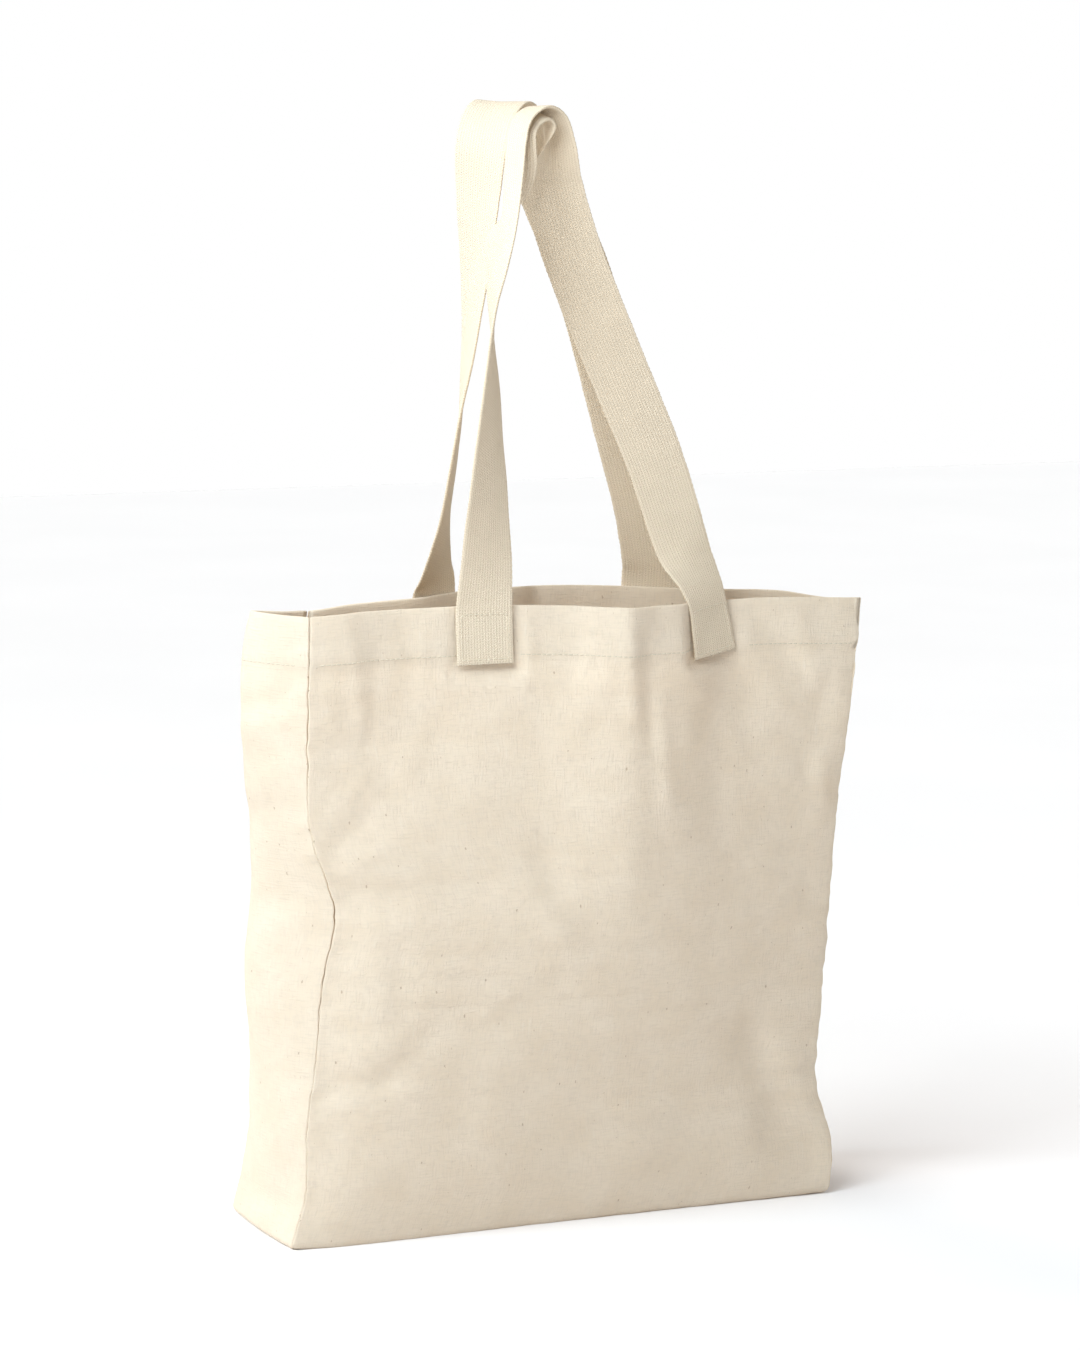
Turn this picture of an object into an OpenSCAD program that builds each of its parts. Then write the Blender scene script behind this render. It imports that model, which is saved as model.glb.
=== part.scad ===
// Gusseted cotton canvas tote bag, standing on its base with both webbing handles held up.
// Millimetres. X is the bag's width, the front panel faces -Y, +Z is up, z = 0 is the floor.

/* [Canvas] */
// Thickness of one ply of canvas
cloth = 0.9; // [0.7:0.1:1.1]
// Height of the double hem round the mouth
hem_h = 32; // [28:1:36]
// Width of the seam allowances inside the corners
allowance_w = 8; // [6:1:10]

/* [Handles] */
// Width of the cotton webbing
web_w = 38; // [34:1:38]
// Thickness of the cotton webbing
web_t = 1.8; // [1.4:0.1:1.8]

/* [Thread] */
// Diameter of the sewing thread
thread_d = 0.7; // [0.5:0.1:0.9]
// Distance from the edge of a handle end to its box stitch
box_inset = 3.5; // [3:0.5:5]

/* [Hidden] */

canvas_colour = [0.93, 0.89, 0.81];
webbing_colour = [0.95, 0.92, 0.85];
thread_colour = [0.97, 0.95, 0.9];

// The four corner seams, from the floor to the rim.
front_left_seam = [[-188, -50, 0], [-178, -49, 30], [-176, -48, 76], [-170, -47, 120], [-166, -46, 165],
                   [-158, -46, 211], [-173, -44, 260], [-175, -42, 315], [-174, -41, 362], [-173, -39, 394]];
front_right_seam = [[191, -50, 0], [193, -49, 30], [180, -48, 76], [182, -48, 120], [185, -48, 165],
                    [187, -48, 211], [190, -48, 260], [197, -47, 315], [203, -46, 359], [207, -45, 390]];
back_left_seam = [[-189, 51, 0], [-182, 50, 30], [-176, 48, 76], [-175, 47, 120], [-174, 46, 165],
                  [-172, 44, 211], [-170, 41, 258], [-163, 34, 312], [-154, 27, 358], [-150, 24, 389]];
back_right_seam = [[190, 51, 0], [190, 50, 30], [181, 48, 76], [182, 45, 120], [184, 41, 165],
                   [186, 33, 211], [190, 22, 258], [196, 6, 310], [201, -6, 356], [203, -10, 387]];
// The pressed folds down the middle of the gussets: the left one stands out, the right one turns in.
left_fold = [[-190, 0, 0], [-191, 0, 30], [-190, 0, 76], [-192, 0, 120], [-195, 0, 165],
             [-193, -1, 211], [-198, 0, 260], [-204, 0, 315], [-199, 4, 361], [-190, 6, 392]];
right_fold = [[190, 0, 0], [192, 0, 30], [190, 0, 76], [189, 0, 120], [186, -2, 165],
              [182, -5, 211], [178, -8, 258], [174, -14, 312], [171, -19, 357], [169, -21, 388]];

// Rim shape of each wide panel: [share of its width, how far it stands back (+Y) from the straight
// line between its two corners, how far it rises above that line].
front_rim = [[0, 0, 0], [0.1, 2, 2], [0.3, 4, 3], [0.43, 2, 2], [0.57, -6, 1], [0.67, 0, 1],
             [0.76, 18, 0], [0.86, 15, 1], [1, 0, 0]];
back_rim = [[0, 0, 0], [0.1, 4, 3], [0.22, 12, 5], [0.315, 29, 6], [0.43, 37, 7], [0.53, 40, 7],
            [0.64, 36, 6], [0.72, 29, 5], [0.8, 18, 5], [0.9, 6, 5], [1, 0, 0]];
// How much of that rim shape is left at each row, and how far the panel bellies out at that row.
rim_share = [0, 0, 0, 0.02, 0.05, 0.12, 0.25, 0.45, 0.8, 1];
belly = [-4, 0, 3, 5, 6, 6, 5, 3, 1, 0];

// Each handle's centre line from its left end to its right end: [x, y, z, yaw of the width, fold].
// Yaw is the direction of the webbing's width in plan, in degrees. Fold 1 is folded double lengthwise.
front_route = [[-57, -42.2, 361, -1, 0], [-57, -39.2, 390, -1, 0], [-56.5, -38.5, 401, 2, 0],
               [-55, -38, 424, 11, 0], [-55, -39, 452, 23, 0], [-55, -40, 486, 37, 0],
               [-54, -40, 525, 50, 0], [-54, -40, 562, 64, 0], [-54, -41, 589, 76, 0],
               [-52, -43, 612, 87, 0], [-48, -43, 634, 96, 0.1], [-43.5, -37, 660, 103, 0.65],
               [-39.5, -30, 682, 108, 0.97], [-35, -26, 697, 111, 1], [-25, -22, 704, 114, 1],
               [-13, -18, 698, 118, 0.95], [-6, -14, 680, 127, 0.6], [-1, -10, 655, 142, 0.2],
               [14, -8, 612, 153, 0], [34, -9, 566, 160, 0], [54, -13, 520, 168, 0],
               [70, -17.5, 481, 172, 0], [86, -23, 431, 178, 0], [93, -28, 413, 190, 0],
               [97, -33.5, 401, 200, 0], [100, -36, 389, 205, 0], [104.5, -38.4, 359, 200, 0]];
back_route = [[-59, 37.2, 361, -162, 0], [-59, 36.5, 390, -159, 0], [-59, 35, 401, -153, 0],
              [-59, 31, 414, -138, 0], [-57.5, 23, 444, -122, 0], [-55, 16, 480, -118, 0],
              [-53, 9, 515, -112, 0], [-51.5, 3, 552, -102, 0], [-50, -1, 589, -91, 0],
              [-50, -4, 618, -82, 0], [-50.5, -7, 650, -69, 0], [-50, -10, 680, -57, 0],
              [-43, -5, 698, -54, 0], [-30, 4, 706, -52, 0], [-16, 14, 698, -50, 0],
              [-6, 21, 680, -46, 0], [10, 27, 652, -38, 0], [31, 30, 613, -28, 0],
              [48, 31, 570, -18, 0], [67, 32, 508, -12, 0], [84, 32, 452, -14, 0],
              [92, 32.6, 414, -19, 0], [93, 34, 401, -21, 0], [93, 34.6, 389, -20, 0],
              [93, 33.4, 361, -18, 0]];
// Stations where the sewn ends stop and the free loops start.
end_stations = 2;
loop_gap = 0.5;
fold_angle = 166;
route_steps = 4;

// Smooth curve through four values.
function curve(a, b, c, d, t) =
    0.5 * (2 * b + (c - a) * t + (2 * a - 5 * b + 4 * c - d) * t * t + (3 * b - a - 3 * c + d) * t * t * t);
function at(list, i) = list[max(0, min(len(list) - 1, i))];
function spline(list, s) = let(i = min(floor(s), len(list) - 2))
    curve(at(list, i - 1), at(list, i), at(list, i + 1), at(list, i + 2), s - i);
function unit(v) = v / norm(v);

// Position in a rim list of a share u of the panel's width.
function rim_index(rim, u, i = 0) =
    (i >= len(rim) - 2 || u < rim[i + 1][0]) ? i + (u - rim[i][0]) / (rim[i + 1][0] - rim[i][0])
                                             : rim_index(rim, u, i + 1);

// A point of a wide panel: u runs left to right, s counts rows from the floor to the rim.
function panel_point(left, right, rim, out, u, s) =
    let(a = spline(left, s), b = spline(right, s), edge = spline(rim, rim_index(rim, u)),
        share = spline(rim_share, s), bulge = spline(belly, s) * sin(180 * u))
    a + (b - a) * u + [0, edge[1] * share + out * bulge, edge[2] * share];
function front_point(u, s) = panel_point(front_left_seam, front_right_seam, front_rim, -1, u, s);
function back_point(u, s) = panel_point(back_left_seam, back_right_seam, back_rim, 1, u, s);
// A point of a gusset: u runs from the front seam to the back seam.
function gusset_point(front, fold, back, u, s) =
    spline([spline(front, s), spline(fold, s), spline(back, s)], 2 * u);

// Row positions of the grids, with a close pair where the hem's inner ply ends.
rim_row = len(front_left_seam) - 1;
top_row_h = 32;
hem_row = rim_row - hem_h / top_row_h;
row_list = [0, 0.4, 1, 1.5, 2, 2.5, 3, 3.5, 4, 4.5, 5, 5.5, 6, 6.5, 7, 7.5, hem_row - 0.03, hem_row,
            hem_row + 0.5, rim_row];
// Plies at a row: the hem is turned in once, so it is double.
function plies(s) = s >= hem_row ? 2 : 1;

// A cloth sheet from a grid of outer points, thickened along the inward direction.
module sheet(grid, inward) {
    rows = len(grid);
    cols = len(grid[0]);
    inner = [for (r = [0:rows - 1]) [for (c = [0:cols - 1]) grid[r][c] + inward * cloth * plies(row_list[r])]];
    points = concat([for (r = grid) for (p = r) p], [for (r = inner) for (p = r) p]);
    k = rows * cols;
    faces = concat(
        [for (r = [0:rows - 2]) for (c = [0:cols - 2]) let(a = r * cols + c)
            each [[a, a + cols, a + cols + 1], [a, a + cols + 1, a + 1]]],
        [for (r = [0:rows - 2]) for (c = [0:cols - 2]) let(a = k + r * cols + c)
            each [[a, a + cols + 1, a + cols], [a, a + 1, a + cols + 1]]],
        [for (c = [0:cols - 2]) let(a = c, b = (rows - 1) * cols + c)
            each [[a, a + 1, a + 1 + k], [a, a + 1 + k, a + k], [b, b + k + 1, b + 1], [b, b + k, b + k + 1]]],
        [for (r = [0:rows - 2]) let(a = r * cols, b = a + cols - 1)
            each [[a, a + k, a + k + cols], [a, a + k + cols, a + cols],
                  [b, b + k + cols, b + k], [b, b + cols, b + k + cols]]]);
    polyhedron(points = points, faces = faces, convexity = 8);
}

// Grid of u positions from one inset edge to the other.
function steps(count, inset) = [for (i = [0:count]) inset + (1 - 2 * inset) * i / count];
wide_inset = 0.001;
left_inset = 0.036;
right_inset = 0.1;

module front_panel() {
    color(canvas_colour)
        sheet([for (s = row_list) [for (u = steps(24, wide_inset)) front_point(u, s)]], [0, 1, 0]);
}

// The back panel's grid runs right to left, so that its outer side faces +Y.
module back_panel() {
    color(canvas_colour)
        sheet([for (s = row_list) [for (u = steps(24, wide_inset)) back_point(1 - u, s)]], [0, -1, 0]);
}

module left_gusset() {
    color(canvas_colour)
        sheet([for (s = row_list) [for (u = steps(8, left_inset))
            gusset_point(front_left_seam, left_fold, back_left_seam, 1 - u, s)]], [1, 0, 0]);
}

module right_gusset() {
    color(canvas_colour)
        sheet([for (s = row_list) [for (u = steps(8, right_inset))
            gusset_point(front_right_seam, right_fold, back_right_seam, u, s)]], [-1, 0, 0]);
}

base_front = -44;
base_back = 46;
base_end = 186;
base_corner = 4;
module base_panel() {
    color(canvas_colour)
        translate([-base_end, base_front, 0]) linear_extrude(cloth)
            translate([base_corner, base_corner]) minkowski() {
                square([2 * base_end - 2 * base_corner, base_back - base_front - 2 * base_corner]);
                circle(r = base_corner, $fn = 32);
            }
}

// Frame of a route at station s: centre, along, across and face directions, and fold.
function point3(v) = [v[0], v[1], v[2]];
function frame_at(route, s) =
    let(last = len(route) - 1, e = 0.02, p = spline(route, s),
        along = unit(point3(spline(route, min(s + e, last)) - spline(route, max(s - e, 0)))),
        flat = [cos(p[3]), sin(p[3]), 0], across = unit(flat - (flat * along) * along))
    [point3(p), along, across, cross(across, along), max(0, min(1, p[4]))];

// One ring of webbing: the half on the +across side folds towards the face side.
function web_ring(route, s, toward) =
    let(f = frame_at(route, s), c = f[0], w = f[2], n = f[3], a = fold_angle * f[4], half = web_w / 2,
        turned = w * cos(a) + toward * n * sin(a), turned_face = unit(cross(turned, f[1])),
        mid = unit(n + turned_face), reach = 1 / max(mid * n, 0.25), h = web_t / 2)
    [c - w * half + n * h, c + mid * h * reach, c + turned * half + turned_face * h,
     c + turned * half - turned_face * h, c - mid * h * reach, c - w * half - n * h];

// Webbing between two stations of a route.
module webbing(route, toward, first, last) {
    count = ceil((last - first) * route_steps);
    rings = [for (i = [0:count]) web_ring(route, first + (last - first) * i / count, toward)];
    sides = len(rings[0]);
    e = count * sides;
    faces = concat(
        [for (r = [0:count - 1]) for (k = [0:sides - 1]) let(a = r * sides + k, b = r * sides + (k + 1) % sides)
            each [[a, b + sides, b], [a, a + sides, b + sides]]],
        [[0, 1, 4], [0, 4, 5], [1, 2, 3], [1, 3, 4]],
        [[e, e + 4, e + 1], [e, e + 5, e + 4], [e + 1, e + 3, e + 2], [e + 1, e + 4, e + 3]]);
    polyhedron(points = [for (r = rings) each r], faces = faces, convexity = 8);
}

// Station that lies a given height above the start of the loop, for the small gap at each joint.
function gap_station(route) = loop_gap / norm(point3(route[end_stations + 1]) - point3(route[end_stations]));

module handle_loop(route, toward) {
    color(webbing_colour)
        webbing(route, toward, end_stations + gap_station(route),
                len(route) - 1 - end_stations - gap_station(route));
}

module handle_ends(route, toward) {
    color(webbing_colour) {
        webbing(route, toward, 0, end_stations);
        webbing(route, toward, len(route) - 1 - end_stations, len(route) - 1);
    }
}

module front_handle() handle_loop(front_route, 1);
module back_handle() handle_loop(back_route, -1);
module front_handle_ends() handle_ends(front_route, 1);
module back_handle_ends() handle_ends(back_route, -1);

// A thread: a six-sided tube through a list of points, closed into a ring or capped.
thread_sides = 6;
module thread(path, ring = false) {
    n = len(path);
    rings = [for (i = [0:n - 1])
        let(before = ring ? path[(i + n - 1) % n] : path[max(i - 1, 0)],
            after = ring ? path[(i + 1) % n] : path[min(i + 1, n - 1)],
            t = unit(after - before), side = abs(t[2]) > 0.9 ? [1, 0, 0] : [0, 0, 1],
            a = unit(cross(t, side)), b = cross(t, a))
        [for (k = [0:thread_sides - 1]) let(g = 360 * k / thread_sides)
            path[i] + (a * cos(g) + b * sin(g)) * thread_d / 2]];
    spans = ring ? n : n - 1;
    m = thread_sides;
    faces = concat(
        [for (i = [0:spans - 1]) for (k = [0:m - 1])
            let(a = i * m + k, b = i * m + (k + 1) % m,
                c = ((i + 1) % n) * m + k, d = ((i + 1) % n) * m + (k + 1) % m)
            each [[a, d, b], [a, c, d]]],
        ring ? [] : [[for (k = [0:m - 1]) k], [for (k = [m - 1:-1:0]) (n - 1) * m + k]]);
    polyhedron(points = [for (r = rings) each r], faces = faces, convexity = 8);
}

// Box stitch on a sewn end, on the face turned away from the bag. Stations run from end to rim.
thread_gap = 0.05;
stitch_lift = web_t / 2 + thread_d / 2 + thread_gap;
box_low = 0.12;
box_high = 0.98;
function on_end(route, s, a) = let(f = frame_at(route, s)) f[0] + f[2] * a + f[3] * stitch_lift;
function box_path(route, low, high) =
    let(a = web_w / 2 - box_inset)
    concat([for (i = [0:4]) on_end(route, low, -a + 2 * a * i / 5)],
           [for (i = [0:4]) on_end(route, low + (high - low) * i / 5, a)],
           [for (i = [0:4]) on_end(route, high, a - 2 * a * i / 5)],
           [for (i = [0:4]) on_end(route, high + (low - high) * i / 5, -a)]);
module box_stitches(route) {
    last = len(route) - 1;
    color(thread_colour) {
        thread(box_path(route, box_low, box_high), ring = true);
        thread(box_path(route, last - box_high, last - box_low), ring = true);
    }
}
module front_handle_stitches() box_stitches(front_route);
module back_handle_stitches() box_stitches(back_route);

// Row of stitches that holds the hem, on the outside of every panel, clear of the handle ends.
hem_stitch_row = hem_row + 0.12;
hem_lift = thread_d / 2 + thread_gap;
front_clear = 0.3;
back_clear = 0.5;
left_clear = 0.5;
right_clear = 0.7;
function stretch(low, high, count) = [for (i = [0:count]) low + (high - low) * i / count];
front_gaps = [[0.012, 0.245], [0.366, 0.67], [0.785, 0.988]];
back_gaps = [[0.012, 0.185], [0.32, 0.62], [0.745, 0.988]];
module hem_stitches() {
    color(thread_colour) {
        for (g = front_gaps)
            thread([for (u = stretch(g[0], g[1], 10))
                front_point(u, hem_stitch_row) - [0, hem_lift + front_clear, 0]]);
        for (g = back_gaps)
            thread([for (u = stretch(g[0], g[1], 10))
                back_point(u, hem_stitch_row) + [0, hem_lift + back_clear, 0]]);
        thread([for (u = stretch(0.06, 0.94, 12))
            gusset_point(front_left_seam, left_fold, back_left_seam, u, hem_stitch_row)
                - [hem_lift + left_clear, 0, 0]]);
        thread([for (u = stretch(0.06, 0.94, 12))
            gusset_point(front_right_seam, right_fold, back_right_seam, u, hem_stitch_row)
                + [hem_lift + right_clear, 0, 0]]);
    }
}

// Corner seams: each allowance is two plies turned inside the corner, pointing into the bag.
allowance_start = 3;
allowance_t = 2 * cloth;
seam_thread_w = 6;
allowance_count = 18;
function allowance_rows(top) = [for (i = [0:allowance_count]) 0.2 + (top - 0.2) * i / allowance_count];
function allowance_point(seam, s, go, w) = spline(seam, s) + go * w;
// Seam, direction of the allowance, side that its plies build up to, and top row.
corners = [[front_left_seam, [0.55, 0.83, 0], [0.83, -0.55, 0], rim_row - 0.1],
           [back_left_seam, [0.45, -0.89, 0], [0.89, 0.45, 0], rim_row - 0.1],
           [front_right_seam, [-0.8, 0.6, 0], [-0.6, -0.8, 0], 6],
           [back_right_seam, [-0.8, -0.6, 0], [-0.6, 0.8, 0], 6]];
module allowance(seam, go, side, top) {
    rings = [for (s = allowance_rows(top))
        let(a = allowance_point(seam, s, go, allowance_start) + side * allowance_t / 2,
            b = a + go * allowance_w, t = side * allowance_t)
        [a, b, b - t, a - t]];
    n = len(rings);
    last = (n - 1) * 4;
    turn = cross(go, side)[2] < 0;
    faces = concat(
        [for (i = [0:n - 2]) for (k = [0:3]) let(a = i * 4 + k, b = i * 4 + (k + 1) % 4)
            each (turn ? [[a, b + 4, b], [a, a + 4, b + 4]] : [[a, b, b + 4], [a, b + 4, a + 4]])],
        turn ? [[0, 1, 2, 3], [last + 3, last + 2, last + 1, last]]
             : [[3, 2, 1, 0], [last, last + 1, last + 2, last + 3]]);
    polyhedron(points = [for (r = rings) each r], faces = faces, convexity = 8);
}
module corner_seam_allowances() {
    color(canvas_colour) for (c = corners) allowance(c[0], c[1], c[2], c[3]);
}
module corner_seam_stitches() {
    color(thread_colour) for (c = corners)
        thread([for (s = allowance_rows(c[3]))
            allowance_point(c[0], s, c[1], seam_thread_w) + c[2] * (allowance_t / 2 + thread_d / 2 + thread_gap)]);
}

// Seam round the base, inside the bag: the wall's and the base panel's edges turned in and lying flat.
base_seam_w = 9;
base_seam_gap = 0.3;
base_seam_inset = 2;
base_thread_inset = 5;
module base_outline(inset) {
    translate([-base_end + inset, base_front + inset])
        square([2 * base_end - 2 * inset, base_back - base_front - 2 * inset]);
}
module base_seam_allowance() {
    color(canvas_colour) translate([0, 0, cloth + base_seam_gap]) linear_extrude(allowance_t) difference() {
        base_outline(base_seam_inset);
        base_outline(base_seam_inset + base_seam_w);
    }
}
function base_corner_points(inset) =
    [[-base_end + inset, base_front + inset], [base_end - inset, base_front + inset],
     [base_end - inset, base_back - inset], [-base_end + inset, base_back - inset]];
module base_seam_stitches() {
    z = cloth + base_seam_gap + allowance_t + thread_d / 2 + thread_gap;
    c = base_corner_points(base_thread_inset);
    color(thread_colour)
        thread([for (i = [0:3]) for (k = [0:5])
                   let(p = c[i] + (c[(i + 1) % 4] - c[i]) * k / 6) [p[0], p[1], z]],
               ring = true);
}

front_panel();
back_panel();
left_gusset();
right_gusset();
base_panel();
front_handle();
back_handle();
front_handle_ends();
back_handle_ends();
front_handle_stitches();
back_handle_stitches();
hem_stitches();
corner_seam_allowances();
corner_seam_stitches();
base_seam_allowance();
base_seam_stitches();
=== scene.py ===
"""Canvas tote bag: cloth panels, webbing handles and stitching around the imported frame. Metres, +Z up."""
import math
from functools import partial

import bmesh
import bpy
import numpy as np
from mathutils import Matrix, Vector, noise


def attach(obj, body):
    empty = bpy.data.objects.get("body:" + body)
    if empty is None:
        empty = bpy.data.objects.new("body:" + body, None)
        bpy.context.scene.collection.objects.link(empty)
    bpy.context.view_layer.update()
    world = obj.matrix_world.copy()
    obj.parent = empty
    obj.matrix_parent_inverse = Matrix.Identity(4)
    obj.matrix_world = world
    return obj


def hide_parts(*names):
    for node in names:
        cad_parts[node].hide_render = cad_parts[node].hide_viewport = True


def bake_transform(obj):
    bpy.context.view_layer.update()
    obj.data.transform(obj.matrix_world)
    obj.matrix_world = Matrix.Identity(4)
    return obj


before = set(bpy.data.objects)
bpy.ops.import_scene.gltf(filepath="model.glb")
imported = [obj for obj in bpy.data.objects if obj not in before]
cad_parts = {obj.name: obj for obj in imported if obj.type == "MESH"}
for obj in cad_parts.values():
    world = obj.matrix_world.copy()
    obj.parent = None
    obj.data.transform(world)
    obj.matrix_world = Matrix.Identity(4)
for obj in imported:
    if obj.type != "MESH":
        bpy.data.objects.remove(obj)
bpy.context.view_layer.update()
MM = 0.001
TAU = 2 * math.pi

# -------------------- node helpers

class Nodes:
    """Short ways to add and join the shader nodes of a new material or world."""

    def __init__(self, owner):
        owner.use_nodes = True
        self.owner, self.tree = owner, owner.node_tree
        self.tree.nodes.clear()

    def add(self, kind, inputs=None, **settings):
        node = self.tree.nodes.new("ShaderNode" + kind)
        for key, value in settings.items():
            setattr(node, key, value)
        for key, value in (inputs or {}).items():
            self.set(node, key, value)
        return node

    def set(self, node, key, value):
        if isinstance(value, bpy.types.NodeSocket):
            self.tree.links.new(value, node.inputs[key])
        else:
            node.inputs[key].default_value = value

    def math(self, operation, a, b=0.0):
        return self.add("Math", {0: a, 1: b}, operation=operation).outputs[0]

    def times(self, a, b):
        return self.math("MULTIPLY", a, b)

    def vector(self, operation, a, b):
        return self.add("VectorMath", {0: a, 1: b}, operation=operation).outputs[0]

    def noise(self, where, scale, detail=2.0):
        return self.add("TexNoise", {"Vector": where, "Scale": scale, "Detail": detail}).outputs["Fac"]

    def between(self, value, low, high):
        """0 below low, 1 above high, smooth between."""
        node = self.add("MapRange", {"Value": value, "From Min": low, "From Max": high},
                        interpolation_type="SMOOTHSTEP")
        return node.outputs["Result"]

    def mix(self, share, a, b):
        node = self.add("Mix", {"Factor": share}, data_type="RGBA")
        self.set(node, 6, a)
        self.set(node, 7, b)
        return node.outputs[2]

    def mix_shaders(self, share, a, b):
        return self.add("MixShader", {0: share, 1: a.outputs[0], 2: b.outputs[0]})

    def finish(self, shader, output="OutputMaterial"):
        """Make shader the surface of the material or world."""
        self.add(output, {0: shader.outputs[0]})
        return self.owner


def darker(colour, *shares):
    """A colour times one share, or times one share each for red, green and blue."""
    return [c * share for c, share in zip(colour, shares * (3 // len(shares)))] + [1]


# -------------------- camera and light

CAMERA_AT = (-1.173, -2.573, 0.773)
CAMERA_AZIMUTH, CAMERA_DROP, CAMERA_ROLL = 24.5, 8.6, 0.87      # degrees
CAMERA_LENS = 120                                                # mm on a 36 mm sensor
HORIZON_LIGHT, OVERHEAD_LIGHT = 0.5, 0.52


def add_camera():
    """A long lens to the bag's left front, looking slightly down."""
    az, drop, roll = (math.radians(a) for a in (CAMERA_AZIMUTH, CAMERA_DROP, CAMERA_ROLL))
    ahead = Vector((math.sin(az) * math.cos(drop), math.cos(az) * math.cos(drop), -math.sin(drop)))
    right = Vector((math.cos(az), -math.sin(az), 0))
    up = right.cross(ahead)
    turned_right = right * math.cos(roll) + up * math.sin(roll)
    turned_up = up * math.cos(roll) - right * math.sin(roll)
    data = bpy.data.cameras.new("camera")
    data.sensor_width = 36
    data.sensor_fit = "AUTO"
    data.lens = CAMERA_LENS
    data.clip_end = 100
    camera = bpy.data.objects.new("camera", data)
    camera.matrix_world = Matrix.Translation(CAMERA_AT) @ Matrix(
        (turned_right, turned_up, -ahead)).transposed().to_4x4()
    bpy.context.collection.objects.link(camera)
    bpy.context.scene.camera = camera


def add_light(name, kind, power, colour, toward, at=(0, 0, 0), **settings):
    """A light that shines along toward. A sun's wide angle, or a panel's size, makes its shadows soft."""
    data = bpy.data.lights.new(name, kind)
    data.energy = power
    data.color = colour
    for key, value in settings.items():
        setattr(data, key, value)
    light = bpy.data.objects.new(name, data)
    light.location = at
    light.rotation_euler = Vector(toward).to_track_quat("-Z", "Y").to_euler()
    bpy.context.collection.objects.link(light)


def add_world():
    """White where the camera sees it; as a light, a warm glow, slightly brighter overhead."""
    n = Nodes(bpy.data.worlds.new("surround"))
    height = n.add("SeparateXYZ", {0: n.add("TexCoord").outputs["Generated"]}).outputs[2]
    strength = n.add("MapRange", {"Value": height, "From Min": 0.25, "From Max": 1.0, "To Min": HORIZON_LIGHT,
                                  "To Max": OVERHEAD_LIGHT}, interpolation_type="SMOOTHSTEP")
    light = n.add("Background", {"Color": (1, 0.99, 0.965, 1), "Strength": strength.outputs["Result"]})
    seen = n.add("Background", {"Color": (1, 1, 1, 1), "Strength": 1.0})
    surface = n.mix_shaders(n.add("LightPath").outputs["Is Camera Ray"], light, seen)
    bpy.context.scene.world = n.finish(surface, "OutputWorld")


bpy.context.scene.view_settings.view_transform = "Standard"
add_camera()
add_world()
add_light("key", "SUN", 1.75, (0.8, 0.925, 1.0), (0.72, 0.1, -0.58), angle=math.radians(32))
add_light("back", "SUN", 1.65, (1.0, 0.97, 0.93), (0.45, -0.7, -0.42), angle=math.radians(45))
add_light("softbox", "AREA", 4.9, (0.86, 0.94, 1.0), (0.5, 0.5, -0.7), at=(-0.5, -0.5, 0.9), size=0.4)


# -------------------- materials

def sewn_uv(n):
    """The flat cut's own coordinates in metres: across, along."""
    return n.add("UVMap", uv_map="cut").outputs["UV"]


def flecks(n, uv, cell, radius, share):
    """1 inside small round seed flecks, in that share of the cells."""
    spot = n.add("TexVoronoi", {"Vector": uv, "Scale": 1 / cell, "Randomness": 1.0}, voronoi_dimensions="2D")
    chance = n.add("SeparateColor", {0: spot.outputs["Color"]})
    chosen = n.math("LESS_THAN", chance.outputs[0], share)
    reach = n.times(n.math("ADD", chance.outputs[1], 0.35), radius / cell)
    return n.times(chosen, n.math("LESS_THAN", spot.outputs["Distance"], reach))


CANVAS_PITCH = 0.74 * MM
THROUGH_COLOUR = (0.95, 0.76, 0.52, 1)      # of light that has come through cotton
SEED, SPECK = (0.36, 0.23, 0.12, 1), (0.45, 0.34, 0.2, 1)


def cloth_output(n, shader, share):
    """Thin cotton: a share of the light that falls on it comes out warmer on its far side."""
    through = n.add("BsdfTranslucent", {"Color": THROUGH_COLOUR})
    return n.finish(n.mix_shaders(share, shader, through))


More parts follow.
